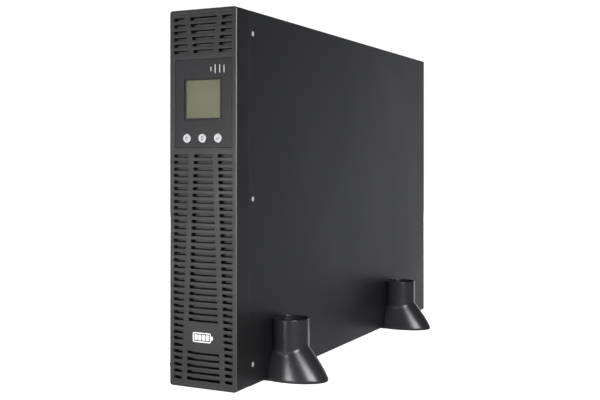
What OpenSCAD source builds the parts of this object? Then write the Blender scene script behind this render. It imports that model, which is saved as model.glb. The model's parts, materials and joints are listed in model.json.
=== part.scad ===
// Rack or tower uninterruptible power supply, standing upright on two pairs of tower feet.
// X runs across the thickness, Y from the front face to the rear, Z up from the floor.

/* [Case] */
// Thickness of the case, two rack units less clearance
case_t = 88; // [87.6:0.1:88.4]
// Height of the case as it stands, the width of its rack body
case_h = 432; // [431:0.5:434]
// Depth from the bezel face to the rear edge of the cover
case_d = 650; // [645:1:670]
// Thickness of the steel sheet
sheet = 1.2; // [1:0.1:1.4]

/* [Front bezel] */
// Depth of the moulded bezel
bezel_d = 30.1; // [29.5:0.1:30.2]
// Thickness of the bezel's front wall
bezel_face = 3.2; // [2.6:0.1:3.6]
// Thickness of the bezel's side walls
bezel_wall = 2.5; // [2:0.1:2.8]
// Radius of the bezel's corners, seen from the front
bezel_corner = 3.5; // [3:0.5:6]
// Width of the raised rim along the face's edge on the cover side
rim_w = 5; // [4.5:0.1:5.2]
// Width of the raised rim along the face's other long edge
rim_left = 3.8; // [3.6:0.1:5.2]
// Height of one air slot
slot_h = 3.6; // [3:0.1:4.2]
// Distance between air slots
slot_pitch = 7.54; // [7.3:0.01:7.6]
// Width of the two plain bars between the slot columns
bar_w = 6.8; // [6:0.1:8]

/* [Display] */
// Height of the bottom edge of the display opening above the case bottom
display_z0 = 274; // [272:0.5:276]
// Height of the display opening
display_h = 101.5; // [100:0.5:103]
// Radius of the three round buttons
button_r = 5; // [4.6:0.1:6]
// Distance between the buttons
button_pitch = 20.75; // [19:0.25:22]
// Button travel
button_travel = 0.8; // [0.5:0.1:1]

/* [Battery drawer] */
// Length of one sealed battery
battery_l = 151; // [150:1:152]
// Thickness of one sealed battery
battery_t = 65; // [64:0.5:66]
// Height of one sealed battery without its tabs
battery_h = 94; // [93:0.5:95]

/* [Tower feet] */
// Thickness of the foot base under the case
floor_gap = 3; // [2:0.5:5]
// Height of the open collar on each foot above the case bottom
collar_top = 70; // [60:1:80]
// Outer radius of the collar
collar_r = 22.4; // [21:0.2:23]
// Distance of the collar centre from the middle of the case
collar_x = 61.8; // [60:0.1:64]
// Distance of the front pair of feet behind the front face
foot_front_y = 100.6; // [95:0.1:110]
// Distance between the two pairs of feet
foot_pitch = 382; // [370:1:400]

/* [Fans] */
// Size of the square fan frames
fan_size = 80; // [80:1:80]
// Depth of the fan frames
fan_d = 25; // [20:1:25]
// Number of blades
fan_blades = 7; // [5:1:9]

/* [Hidden] */

$fn = 48;
eps = 0.01;
fit = 0.3;
rear_reach = 8;
front_y = -(case_d + rear_reach) / 2;
half_t = case_t / 2;
inner_x = half_t - sheet;

// bezel
bezel_gap = 0.4;
bezel_over = 0.7;
chassis_y = bezel_d + bezel_gap;
field_x = half_t - rim_w;
field_left = half_t - rim_left;
field_recess = 0.6;
field_margin = 3;
opening_x = field_x - 0.6;
display_z1 = display_z0 + display_h;
upper_top = 422;
upper_rows = 6;
lower_top = 264.8;
lower_rows = 35;
mark_rows = [26, 29];
filter_y = 9.5;
filter_t = 2.5;
tongue_y1 = 37;
tongue_x = [-20, 20];
tongue_z = [3, 426];

// display
panel_y = 1;
panel_t = 2;
panel_gap = 0.25;
panel_x = opening_x - panel_gap;
panel_z0 = display_z0 + panel_gap;
panel_z1 = display_z1 - panel_gap;
screen = [-23.8, 21.8, 308, 351.4];
window_rim = 2.4;
button_x0 = -1.25;
button_z = 285;
board_y = 12;
lights = [[10.4, 361, 366], [16, 358.6, 368.5], [22, 359.2, 368], [27.7, 359, 367.6]];
light_w = 0.7;
plate_y0 = chassis_y + 0.5;
housing_y1 = plate_y0;
pcb_t = 1.6;
boss_x = [-32.5, 32.5];
boss_z = [panel_z0 + 8, panel_z1 - 8];
boss_r = 3.2;
ribbon_hole = [-12, 12, 350, 360];
glass_depth = 0.8;
button_flange = 1.3;
button_stem = 2;
switch_h = 2.4;

// battery drawer
tray_x0 = -37.2;
tray_x1 = 30;
tray_z0 = 14;
tray_z1 = tray_z0 + 2 * (battery_h + 6) + 2 * sheet + 2;
tray_y0 = plate_y0;
tray_y1 = tray_y0 + 3 * battery_l + 22;
tray_clear = 0.8;
tab_x = tray_x0 + sheet + 12;
tab_w = 6.4;
door_y1 = plate_y0 - fit;
door_t = 1.5;
door_lip = 3.6;
door_x1 = 40.4;
catch_x = 36;
catch_z = [60, 180];
fixing_x = [-17.6, 10.4];
fixing_z = 115;
bay_top = tray_z1 + 3;
bay_rear = tray_y1 + 16;

// electronics
board_x = -38;
board_y0 = 60;
board_y1 = 560;
board_z0 = bay_top + 8;
board_z1 = case_h - 6;
parts_x = board_x + pcb_t;

// rear
rear_t = 2;
rear_y0 = case_d - rear_t;
rear_screw_y = rear_y0 - 5;
rear_screw_z = [60, 216, 372];
fan_z = [386, 300];
fan_bore = fan_size / 2 - 1.5;
fan_hole = 35.75;
rotor_r = fan_bore - 1.2;
hub_r = 17;
fixing_r = 2.1;
wire_r = 0.9;
guard_foot = 3.3;
socket_z = [20, 48, 76];
socket_x = 20;
large_z = 107;
inlet_z = 107;
inlet_pin_at = [[-7, -3], [7, -3], [0, 4]];
breaker = [27, 134];
ground = [-27, 134];
slot_plate = [-41, 1, 146, 252];
slot_screw_x = -20;
slot_screw_z = [slot_plate[2] + 4, slot_plate[3] - 4];
signal_x = [4.5, 42];
signal_z = [150, 252];
signal_holes = [[14.8, 27.2, 234.8, 246.2], [14.5, 25.5, 195.5, 227.5], [31.8, 40.2, 212.8, 225.2]];
network_z = [158, 173.5];
flange_gap = 0.15;
flange_x = 39.5;

screw_r = 1.45;
screw_hole = 1.55;
screw_y = chassis_y + 8.3;
cover_screw_z = [24, 215, 406];
ear_x = 25;
ear_y = [41, 65];
ear_hole = 1.65;

// tower feet
foot_rings = 6;
foot_sides = 40;
skirt_x = 64.2;
skirt_a = 45.9;
skirt_b = 27.8;
flare = 1.2;
side_top = 37;
face_top = 28;
foot_wall = 2.4;
collar_wall = 3;
foot_gap = 0.3;
tongue_half = 25.5;

// ---------- helpers ----------

module in_case() translate([0, front_y, floor_gap]) children();

// Extrudes an (x, z) outline from y0 to y1
module through_y(y0, y1) translate([0, y1, 0]) rotate([90, 0, 0]) linear_extrude(y1 - y0) children();

module block(x0, x1, y0, y1, z0, z1) translate([x0, y0, z0]) cube([x1 - x0, y1 - y0, z1 - z0]);

module rod_x(x0, x1, y, z, r) translate([x0, y, z]) rotate([0, 90, 0]) cylinder(r = r, h = x1 - x0);

module rod_y(x, y0, y1, z, r) translate([x, y0, z]) rotate([-90, 0, 0]) cylinder(r = r, h = y1 - y0);

module rod_z(x, y, z0, z1, r) translate([x, y, z0]) cylinder(r = r, h = z1 - z0);

module round_rect(x0, x1, z0, z1, r) {
    translate([x0 + r, z0]) square([x1 - x0 - 2 * r, z1 - z0]);
    translate([x0, z0 + r]) square([x1 - x0, z1 - z0 - 2 * r]);
    for (x = [x0 + r, x1 - r], z = [z0 + r, z1 - r]) translate([x, z]) circle(r = r);
}

module rect(x0, x1, z0, z1) translate([x0, z0]) square([x1 - x0, z1 - z0]);

// Pan-head screw along +Y: the head's top is at y, the shank runs on to y + length
module pan_screw_y(x, y, z, head_r, head_h, length) difference() {
    union() {
        rod_y(x, y, y + head_h, z, head_r);
        rod_y(x, y + head_h - eps, y + length, z, screw_r);
    }
    block(x - head_r * 0.6, x + head_r * 0.6, y - 1, y + head_h * 0.55, z - 0.3, z + 0.3);
    block(x - 0.3, x + 0.3, y - 1, y + head_h * 0.55, z - head_r * 0.6, z + head_r * 0.6);
}

// ---------- front ----------

// Middle of the plain bar between two slot columns, at height z
function bar_mid(z) = z > display_z1
    ? 16.85 + (z - 384) * 0.121
    : 15.9 + (lower_top - z) * 0.0382;

module slot_row(z, centre) {
    inner = bar_mid(z) - bar_w / 2;
    outer = bar_mid(z) + bar_w / 2;
    rect(-field_left + 0.2, -outer, z - slot_h / 2, z + slot_h / 2);
    rect(outer, field_x - 0.2, z - slot_h / 2, z + slot_h / 2);
    if (centre) rect(-inner, inner, z - slot_h / 2, z + slot_h / 2);
}

module air_slots() {
    for (i = [0 : upper_rows - 1]) slot_row(upper_top - i * slot_pitch, true);
    for (i = [0 : lower_rows - 1])
        slot_row(lower_top - i * (slot_pitch - 0.03), i < mark_rows[0] || i > mark_rows[1]);
}

module front_bezel() color("#3a3a3c") in_case() {
    difference() {
        through_y(0, bezel_d) round_rect(-half_t - bezel_over, half_t + bezel_over,
            -bezel_over, case_h + bezel_over, bezel_corner);
        through_y(bezel_face, bezel_d + 1)
            rect(-half_t + bezel_wall, half_t - bezel_wall, bezel_wall, case_h - bezel_wall);
        block(-field_left, field_x, -1, field_recess, field_margin, case_h - field_margin);
        through_y(-1, bezel_face + 1) rect(-opening_x, opening_x, display_z0, display_z1);
        through_y(-1, bezel_face + 1) air_slots();
    }
    for (x = tongue_x, z = tongue_z) block(x - 6, x + 6, bezel_face - eps, tongue_y1, z, z + 3);
}

module dust_filters() color("#4a4c4e") in_case() {
    x = half_t - bezel_wall - fit;
    for (z = [[8, display_z0 - 4], [display_z1 + 4, case_h - 8]])
        block(-x, x, filter_y, filter_y + filter_t, z[0], z[1]);
}

module display_panel() color("#2c2c2e") in_case() difference() {
    through_y(panel_y, panel_y + panel_t) round_rect(-panel_x, panel_x, panel_z0, panel_z1, 1);
    through_y(0, board_y) rect(screen[0] - window_rim, screen[1] + window_rim,
        screen[2] - window_rim, screen[3] + window_rim);
    for (i = [-1 : 1])
        rod_y(button_x0 + i * button_pitch, 0, board_y, button_z, button_r + 2 * fit);
    for (l = lights)
        block(l[0] - light_w / 2 - 0.1, l[0] + light_w / 2 + 0.1, 0, board_y, l[1] - 0.1, l[2] + 0.1);
}

// Open box behind the display panel, with a boss for each screw
module display_housing() color("#252527") in_case() difference() {
    union() {
        difference() {
            block(-panel_x, panel_x, panel_y + panel_t, housing_y1, panel_z0, panel_z1);
            block(-panel_x + 2, panel_x - 2, 0, housing_y1 - 2, panel_z0 + 2, panel_z1 - 2);
        }
        for (x = boss_x, z = boss_z) rod_y(x, board_y + pcb_t, housing_y1 - 1, z, boss_r);
    }
    block(ribbon_hole[0], ribbon_hole[1], housing_y1 - 3, housing_y1 + 1, ribbon_hole[2], ribbon_hole[3]);
    for (x = boss_x, z = boss_z) rod_y(x, 10, 40, z, screw_hole);
}

module lcd_window() color("#7a7c64") in_case()
    block(screen[0] - window_rim + 0.1, screen[1] + window_rim - 0.1, panel_y + 0.2, panel_y + 1.6,
        screen[2] - window_rim + 0.1, screen[3] + window_rim - 0.1);

module lcd_module() color("#5c5e58") in_case() difference() {
    block(screen[0] - 6, screen[1] + 6, panel_y + panel_t, board_y, screen[2] - 6, screen[3] + 5);
    block(screen[0], screen[1], 0, panel_y + panel_t + glass_depth, screen[2], screen[3]);
}

module display_board() color("#2f5a37") in_case() {
    difference() {
        block(-panel_x + 3, panel_x - 3, board_y, board_y + pcb_t, panel_z0 + 3, panel_z1 - 3);
        for (x = boss_x, z = boss_z) rod_y(x, 5, 30, z, screw_hole);
    }
    for (i = [-1 : 1]) {
        x = button_x0 + i * button_pitch;
        block(x - 3, x + 3, board_y - switch_h, board_y + eps, button_z - 3, button_z + 3);
    }
    for (l = lights) block(l[0] - 1, l[0] + 1, board_y - 1, board_y + eps, l[1] + 1, l[2] - 1);
}

module status_light_pipes() color("#e8ebe6") in_case() for (l = lights)
    block(l[0] - light_w / 2, l[0] + light_w / 2, panel_y - 0.1, board_y - 1, l[1], l[2]);

module round_button(i) in_case() {
    x = button_x0 + i * button_pitch;
    rod_y(x, panel_y - 0.7, panel_y + panel_t + 0.2, button_z, button_r);
    rod_y(x, panel_y + panel_t + 0.1, panel_y + panel_t + 1.3, button_z, button_r + button_flange);
    rod_y(x, panel_y + panel_t + 1.2, board_y - switch_h - button_travel - 0.2, button_z, button_stem);
}

module left_button() color("#e6e7e8") round_button(-1);

module middle_button() color("#e6e7e8") round_button(0);

module right_button() color("#e6e7e8") round_button(1);

// Screws that hold the display board and housing on bosses to the inner front plate
module display_screws() color("#b8bbbd") in_case()
    for (x = boss_x, z = boss_z)
        pan_screw_y(x, board_y - 1.8, z, 2.8, 1.8, plate_y0 + sheet + 2 - board_y);

// ---------- case ----------

module chassis_tray() color("#2b2c2e") in_case() difference() {
    union() {
        block(-half_t, -inner_x, chassis_y, case_d, 0, case_h);
        block(-half_t + eps, inner_x, chassis_y, case_d, 0, sheet);
        block(-half_t + eps, inner_x, chassis_y, case_d, case_h - sheet, case_h);
        for (x = [-ear_x, ear_x], y = ear_y) {
            rod_z(x, y, sheet - eps, sheet + 2, boss_r);
            rod_z(x, y, case_h - sheet - 2, case_h - sheet + eps, boss_r);
        }
    }
    for (x = [-ear_x, ear_x], y = ear_y) rod_z(x, y, -5, case_h + 5, ear_hole);
    for (z = rear_screw_z) rod_x(-half_t - 1, -inner_x + 1, rear_screw_y, z, screw_hole);
}

module side_cover() color("#2e2f31") in_case() difference() {
    union() {
        block(inner_x, half_t, chassis_y, case_d, 0, case_h);
        block(inner_x - 14, inner_x + eps, chassis_y + 3, rear_y0 - 14, sheet + fit, 2 * sheet + fit);
        block(inner_x - 14, inner_x + eps, chassis_y + 3, rear_y0 - 14, case_h - 2 * sheet - fit,
            case_h - sheet - fit);
    }
    for (z = cover_screw_z) translate([half_t, screw_y, z]) rotate([0, -90, 0])
        translate([0, 0, -eps]) cylinder(r1 = 3.2, r2 = 1.9, h = sheet + 2 * eps);
}

module cover_screws() color("#c9cbcd") in_case() for (z = cover_screw_z)
    translate([half_t, screw_y, z]) rotate([0, -90, 0]) difference() {
        union() {
            translate([0, 0, 0.1]) cylinder(r1 = 2.95, r2 = 1.6, h = sheet - 0.1);
            translate([0, 0, 0.5]) cylinder(r = screw_r, h = 6);
        }
        translate([-0.3, -1.6, -1]) cube([0.6, 3.2, 1.7]);
        translate([-1.6, -0.3, -1]) cube([3.2, 0.6, 1.7]);
    }

module inner_front_plate() color("#303133") in_case() difference() {
    union() {
        block(-inner_x, inner_x, plate_y0, plate_y0 + sheet, 3 * sheet, case_h - 3 * sheet);
        block(inner_x - sheet, inner_x, plate_y0, plate_y0 + 16, 6 * sheet, case_h - 6 * sheet);
    }
    block(tray_x0 - tray_clear, tray_x1 + tray_clear, plate_y0 - 1, plate_y0 + 5,
        tray_z0 - tray_clear, tray_z1 + tray_clear);
    for (z = cover_screw_z) rod_x(inner_x - 5, inner_x + 1, screw_y, z, screw_hole);
    for (x = boss_x, z = boss_z) rod_y(x, 20, 40, z, screw_hole);
    block(ribbon_hole[0], ribbon_hole[1], plate_y0 - 1, plate_y0 + 5, ribbon_hole[2], ribbon_hole[3]);
    for (x = tongue_x, z = tongue_z) block(x - 6.5, x + 6.5, plate_y0 - 1, plate_y0 + 5, z - 0.5, z + 3.5);
    for (i = [0 : 4], x = [-36, -6, 24])
        block(x, x + 20, plate_y0 - 1, plate_y0 + 5, 230 + i * 8, 233 + i * 8);
    for (i = [0 : 4], x = [-36, -6, 24])
        block(x, x + 12, plate_y0 - 1, plate_y0 + 5, 382 + i * 8, 385 + i * 8);
    for (z = catch_z) rod_y(catch_x, 25, 40, z, screw_hole);
}

// Folded wall between the battery bay and the electronics
module bay_divider() color("#a9adb0") in_case() difference() {
    union() {
        block(-inner_x, inner_x - 2, plate_y0 + sheet, bay_rear + sheet, bay_top, bay_top + sheet);
        block(-inner_x, inner_x - 2, bay_rear, bay_rear + sheet, 3 * sheet, bay_top + eps);
    }
    block(-24, 8, bay_rear - 1, bay_rear + 5, 96, 124);
}

module rear_panel() color("#2b2c2e") in_case() difference() {
    union() {
        block(-inner_x, inner_x, rear_y0, case_d, sheet, case_h - sheet);
        block(-inner_x, -inner_x + sheet, rear_y0 - 12, rear_y0 + eps, 6 * sheet, case_h - 6 * sheet);
    }
    for (z = fan_z) {
        rod_y(0, rear_y0 - 1, case_d + 1, z, fan_bore);
        for (x = [-1, 1], s = [-1, 1]) rod_y(x * fan_hole, rear_y0 - 1, case_d + 1, z + s * fan_hole, fixing_r);
    }
    block(-38, 38, rear_y0 - 1, case_d + 1, socket_z[0] - 12, large_z + 13);
    block(signal_x[0] + 1.5, signal_x[1] - 1.5, rear_y0 - 1, case_d + 1, signal_z[0] + 1.5, signal_z[1] - 1.5);
    rod_y(breaker[0], rear_y0 - 1, case_d + 1, breaker[1], 6.1);
    rod_y(ground[0], rear_y0 - 1, case_d + 1, ground[1], fixing_r);
    block(slot_plate[0] + 5, slot_plate[1] - 5, rear_y0 - 1, case_d + 1, slot_plate[2] + 8, slot_plate[3] - 8);
    for (z = slot_screw_z) rod_y(slot_screw_x, rear_y0 - 1, case_d + 1, z, screw_hole);
    for (z = rear_screw_z) rod_x(-half_t - 1, -inner_x + sheet + 1, rear_screw_y, z, screw_hole);
}

// Button-head screws that join the rear panel's flange to the tray
module rear_panel_screws() color("#b8bbbd") in_case() for (z = rear_screw_z) {
    rod_x(-half_t - 1.2, -half_t, rear_screw_y, z, 3);
    rod_x(-half_t - eps, -inner_x + 2 * sheet, rear_screw_y, z, screw_r);
}

// ---------- battery drawer ----------

module battery_tray() color("#b4b8ba") in_case() difference() {
    block(tray_x0, tray_x1, tray_y0, tray_y1, tray_z0, tray_z1);
    block(tray_x0 + sheet, tray_x1 + 1, tray_y0 + sheet, tray_y1 - sheet, tray_z0 + sheet, tray_z1 - sheet);
    block(-20, 4, tray_y1 - 5, tray_y1 + 5, 99, 121);
    for (x = fixing_x) rod_y(x, tray_y0 - 1, tray_y0 + 5, fixing_z, screw_hole);
}

module battery_door() color("#303133") in_case() difference() {
    block(tray_x0 - door_lip, door_x1, door_y1 - door_t, door_y1, tray_z0 - door_lip - 1,
        tray_z1 + door_lip + 1);
    for (x = fixing_x) rod_y(x, door_y1 - 5, door_y1 + 5, fixing_z, screw_hole);
    for (z = catch_z) rod_y(catch_x, door_y1 - 5, door_y1 + 5, z, screw_hole);
    for (i = [0 : 5], z = [40, 165]) block(-30, 22, door_y1 - 5, door_y1 + 5, z + i * 6, z + i * 6 + 2.6);
}

// Folded strap handle, screwed through the door into the tray
module battery_handle() color("#1c1c1d") in_case() {
    for (z = [92, 130]) block(-7.6, 0.4, door_y1 - door_t - 12, door_y1 - door_t, z, z + 2.4);
    block(-7.6, 0.4, door_y1 - door_t - 14, door_y1 - door_t - 12 + eps, 92, 132.4);
    for (z = [80, 130]) block(-7.6, 0.4, door_y1 - door_t - 2, door_y1 - door_t, z, z + 14.4);
}

// Two screws hold the door on the tray; two captive ones hold the drawer in the case
module door_screws() color("#c9cbcd") in_case() {
    for (x = fixing_x) pan_screw_y(x, door_y1 - door_t - 2, fixing_z, 3, 2, 6.5);
    for (z = catch_z) pan_screw_y(catch_x, door_y1 - door_t - 3, z, 3.6, 3, 9);
}

module one_battery(y, z) {
    block(tray_x0 + sheet, tray_x0 + sheet + battery_t, y, y + battery_l - 0.5, z, z + battery_h);
    for (s = [14, battery_l - 22])
        block(tab_x, tab_x + tab_w, y + s, y + s + 8, z + battery_h - eps, z + battery_h + 4);
}

module batteries() color("#3c4044") in_case() for (k = [0, 1], i = [0 : 2])
    one_battery(tray_y0 + sheet + 2 + i * battery_l, tray_z0 + sheet + k * (battery_h + 6));

// Series straps on the battery tabs
module battery_links() color("#b4703a") in_case() for (k = [0, 1], i = [0, 1]) {
    z = tray_z0 + sheet + k * (battery_h + 6) + battery_h + 4;
    y = tray_y0 + sheet + 2 + i * battery_l;
    block(tab_x, tab_x + tab_w, y + battery_l - 22, y + battery_l + 22, z, z + 1);
}

module battery_plug() color("#8d1f1f") in_case() {
    block(-19.8, 3.8, tray_y1 - 14, tray_y1 + 8, 99.2, 120.8);
}

module battery_receptacle() color("#8d1f1f") in_case() difference() {
    union() {
        block(-23.8, 7.8, tray_y1 + 2, bay_rear, 96.2, 123.8);
        block(-23.8, 7.8, bay_rear - eps, bay_rear + 20, 96.2, 123.8);
    }
    block(-20.3, 4.3, tray_y1, tray_y1 + 12, 98.7, 121.3);
}

// ---------- electronics ----------

module main_power_board() color("#2f5a37") in_case() difference() {
    block(board_x, parts_x, board_y0, board_y1, board_z0, board_z1);
    for (y = [board_y0 + 8, board_y1 - 8], z = [board_z0 + 6, board_z1 - 6]) rod_x(-43, -30, y, z, screw_hole);
}

module board_standoffs() color("#c3a14a") in_case()
    for (y = [board_y0 + 8, board_y1 - 8], z = [board_z0 + 6, board_z1 - 6]) {
        rod_x(-inner_x, board_x, y, z, boss_r);
        rod_x(board_x - eps, parts_x + 2, y, z, screw_r);
    }

module finned_sink(y0, z0) {
    block(parts_x, parts_x + 58, y0, y0 + 210, z0, z0 + 5);
    for (i = [0 : 6]) block(parts_x + 2 + i * 9, parts_x + 4 + i * 9, y0, y0 + 210, z0 + 5 - eps, z0 + 30);
}

module heatsinks() color("#8f9497") in_case() {
    finned_sink(330, 262);
    finned_sink(330, 330);
}

module bus_capacitors() color("#26303c") in_case() for (y = [100, 134, 168, 202], z = [254, 290])
    rod_x(parts_x, parts_x + 48, y, z, 15);

module inductors() color("#b06f35") in_case() for (y = [110, 176, 242]) difference() {
    rod_x(parts_x, parts_x + 26, y, 380, 27);
    rod_x(parts_x - 1, parts_x + 27, y, 380, 12);
}

module transformer() color("#5b5a52") in_case() {
    block(parts_x, parts_x + 40, 250, 306, 316, 334);
    block(parts_x, parts_x + 40, 250, 306, 246, 262);
    block(parts_x + 2, parts_x + 38, 258, 298, 262 - eps, 316 + eps);
}

module power_transistors() color("#1b1b1c") in_case() for (y = [346 : 26 : 520], z = [257, 325])
    block(parts_x + 8, parts_x + 29, y, y + 16, z, z + 5);

module relays() color("#1f2a3a") in_case() for (y = [300, 330], z = [374, 400])
    block(parts_x, parts_x + 22, y, y + 24, z, z + 20);

module control_board() color("#2f5a37") in_case() {
    block(24, 24 + pcb_t, 66, 200, board_z0 + 6, board_z0 + 130);
    block(24 + pcb_t - eps, 27.6, 110, 134, board_z0 + 50, board_z0 + 74);
    block(parts_x, 24 + eps, 66, 67.6, board_z0 + 14, board_z0 + 28);
}

module filter_board() color("#2f5a37") in_case() {
    block(board_x, parts_x, bay_rear + 8, 606, 14, 138);
    for (z = [28, 62, 96]) block(parts_x - eps, parts_x + 26, bay_rear + 30, bay_rear + 56, z, z + 22);
    block(board_x - 4.8, board_x + eps, 560, 568, 20, 28);
    block(board_x - 4.8, board_x + eps, 560, 568, 120, 128);
}

// Flat lead from the display board back to the control board
module display_ribbon() color("#7d7f82") in_case() {
    block(-10, 10, board_y + pcb_t, 62, 354.4, 355.4);
    block(-10, 10, 61, 62, 347, 355.4);
    block(-10, 26.6, 61, 62, 346, 347 + eps);
    block(25.6, 26.6, 61, 80, 346, 347 + eps);
}

// ---------- rear ----------

module fan_frame(z) translate([0, 0, z]) difference() {
    union() {
        difference() {
            block(-fan_size / 2, fan_size / 2, rear_y0 - fan_d, rear_y0, -fan_size / 2, fan_size / 2);
            rod_y(0, rear_y0 - fan_d - 1, rear_y0 + 1, 0, fan_bore);
        }
        rod_y(0, rear_y0 - fan_d, rear_y0 - fan_d + 3, 0, hub_r + 1);
        rod_y(0, rear_y0 - fan_d + 3 - eps, rear_y0 - fan_d + 12, 0, 5);
        for (a = [45 : 90 : 315]) rotate([0, a, 0])
            block(hub_r, fan_bore + 1, rear_y0 - fan_d, rear_y0 - fan_d + 3, -2, 2);
    }
    rod_y(0, rear_y0 - fan_d + 4, rear_y0, 0, 1.55);
    for (x = [-fan_hole, fan_hole], s = [-fan_hole, fan_hole])
        rod_y(x, rear_y0 - fan_d - 1, rear_y0 + 1, s, fixing_r);
}

module fan_frames() color("#1a1a1b") in_case() for (z = fan_z) fan_frame(z);

module fan_rotor(z) in_case() translate([0, 0, z]) {
    difference() {
        rod_y(0, rear_y0 - fan_d + 4, rear_y0 - 2, 0, hub_r);
        rod_y(0, rear_y0 - fan_d + 3, rear_y0 - 5, 0, hub_r - 2);
    }
    rod_y(0, rear_y0 - fan_d + 4.5, rear_y0 - 5 + eps, 0, 1.5);
    intersection() {
        difference() {
            rod_y(0, rear_y0 - fan_d + 5, rear_y0 - 3, 0, rotor_r);
            rod_y(0, rear_y0 - fan_d + 4, rear_y0 - 2, 0, hub_r - 1);
        }
        for (i = [0 : fan_blades - 1]) rotate([0, i * 360 / fan_blades, 0])
            translate([(rotor_r + hub_r) / 2, rear_y0 - fan_d / 2 + 1, 0]) rotate([38, 0, 0])
                cube([rotor_r - hub_r + 6, 1.6, 26], center = true);
    }
}

module upper_fan_rotor() color("#222224") fan_rotor(fan_z[0]);

module lower_fan_rotor() color("#222224") fan_rotor(fan_z[1]);

module wire_ring(r, y) rotate([-90, 0, 0]) translate([0, 0, y])
    rotate_extrude() translate([r, 0]) circle(r = wire_r, $fn = 16);

module fan_guard() {
    for (r = [12, 20, 28, 36]) wire_ring(r, case_d + 1.2);
    for (a = [45 : 90 : 315]) rotate([0, a, 0]) rod_x(11, 48, case_d + 2.4, 0, wire_r);
    for (x = [-fan_hole, fan_hole], s = [-fan_hole, fan_hole]) difference() {
        rod_y(x, case_d, case_d + guard_foot, s, 4);
        rod_y(x, case_d - 1, case_d + 4, s, fixing_r);
    }
}

module fan_guards() color("#b8bbbd") in_case() for (z = fan_z) translate([0, 0, z]) fan_guard();

module fan_screws() color("#b8bbbd") in_case()
    for (z = fan_z, x = [-fan_hole, fan_hole], s = [-fan_hole, fan_hole]) {
        rod_y(x, case_d + guard_foot, case_d + guard_foot + 1.8, z + s, 3.4);
        rod_y(x, rear_y0 - 9, case_d + guard_foot + eps, z + s, fixing_r - 0.15);
    }

// Power inlet with three flat pins in an open cavity
module power_inlet() color("#18181a") in_case() difference() {
    union() {
        block(-socket_x - 15.7, -socket_x + 15.7, case_d - 24, case_d + eps, inlet_z - 12.7, inlet_z + 12.7);
        block(-flange_x, -flange_gap, case_d, case_d + 2.5, inlet_z - 15, inlet_z + 15);
    }
    block(-socket_x - 13.5, -socket_x + 13.5, case_d - 17, case_d + 3, inlet_z - 10.5, inlet_z + 10.5);
    for (p = inlet_pin_at)
        block(-socket_x + p[0] - 1.05, -socket_x + p[0] + 1.05, case_d - 30, case_d, inlet_z + p[1] - 4.05,
            inlet_z + p[1] + 4.05);
}

module inlet_pins() color("#c7b27a") in_case() for (p = inlet_pin_at)
    block(-socket_x + p[0] - 1, -socket_x + p[0] + 1, case_d - 30, case_d - 4, inlet_z + p[1] - 4,
        inlet_z + p[1] + 4);

module breaker_body() color("#18181a") in_case() difference() {
    union() {
        rod_y(breaker[0], rear_y0 - 26, case_d + 2.6, breaker[1], 5.9);
        rod_y(breaker[0], case_d, case_d + 2.6, breaker[1], 8.5);
    }
    rod_y(breaker[0], rear_y0 - 10, case_d + 3, breaker[1], 3.8);
}

module breaker_button() color("#1f1f21") in_case() rod_y(breaker[0], rear_y0 - 6, case_d + 7, breaker[1], 3.5);

// Output socket: a block with three slits inside a groove for the plug's shroud
module output_socket(x, z, w, h, flange_h) difference() {
    union() {
        block(x - w / 2, x + w / 2, case_d - 26, case_d + eps, z - h / 2, z + h / 2);
        block(x < 0 ? -flange_x : flange_gap, x < 0 ? -flange_gap : flange_x, case_d, case_d + 2,
            z - flange_h / 2, z + flange_h / 2);
    }
    difference() {
        block(x - w / 2 + 1.5, x + w / 2 - 1.5, case_d - 16, case_d + 3, z - h / 2 + 1.5, z + h / 2 - 1.5);
        block(x - w / 2 + 4.2, x + w / 2 - 4.2, case_d - 17, case_d + 1, z - h / 2 + 4.2, z + h / 2 - 4.2);
    }
    for (p = [[-w / 4, -2], [w / 4, -2], [0, 2]])
        block(x + p[0] - 1.1, x + p[0] + 1.1, case_d - 14, case_d + 3, z + p[1] - 2.5, z + p[1] + 2.5);
}

module output_sockets() color("#18181a") in_case()
    for (x = [-socket_x, socket_x], z = socket_z) output_socket(x, z, 27.6, 21.6, 27.8);

module large_output_socket() color("#18181a") in_case() output_socket(socket_x, large_z, 31.6, 25.6, 30);

module usb_port() color("#b5b8ba") in_case() {
    difference() {
        block(15, 27, case_d - 16, case_d + 1, 235, 246);
        block(16, 26, case_d - 10, case_d + 2, 236, 245);
    }
    block(18, 24, case_d - 10.5, case_d - 1, 238.6, 242.2);
}

module serial_port() color("#b5b8ba") in_case() difference() {
    union() {
        block(14.7, 25.3, case_d - 12, case_d + eps, 195.7, 227.3);
        block(15.5, 24.5, case_d, case_d + 5, 202.5, 220.5);
    }
    for (i = [0 : 4]) rod_y(18.6, case_d - 2, case_d + 6, 206 + i * 2.8, 0.55);
    for (i = [0 : 3]) rod_y(21.4, case_d - 2, case_d + 6, 207.4 + i * 2.8, 0.55);
}

// Signal plate over the panel's upper window, with the two network ports moulded in one with it
module network_ports() color("#202022") in_case() difference() {
    union() {
        block(11, 27, case_d - 16, case_d + 1, 156, 188);
        block(signal_x[0], signal_x[1], case_d, case_d + 1.2, signal_z[0], signal_z[1]);
    }
    for (hole = signal_holes) block(hole[0], hole[1], case_d - 1, case_d + 2, hole[2], hole[3]);
    for (z = network_z) {
        block(14, 22.5, case_d - 12, case_d + 2, z, z + 12.5);
        block(22.4, 25, case_d - 12, case_d + 2, z + 3, z + 9.5);
    }
}

module emergency_terminal() color("#2f7d4a") in_case() difference() {
    block(32, 40, case_d - 10, case_d + 6, 213, 225);
    for (z = [216.5, 221.5]) rod_y(36, case_d + 3, case_d + 7, z, 1.5);
}

module slot_cover() color("#2b2c2e") in_case() difference() {
    block(slot_plate[0], slot_plate[1], case_d, case_d + sheet, slot_plate[2], slot_plate[3]);
    for (z = slot_screw_z) rod_y(slot_screw_x, case_d - 1, case_d + 2, z, screw_hole);
}

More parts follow.
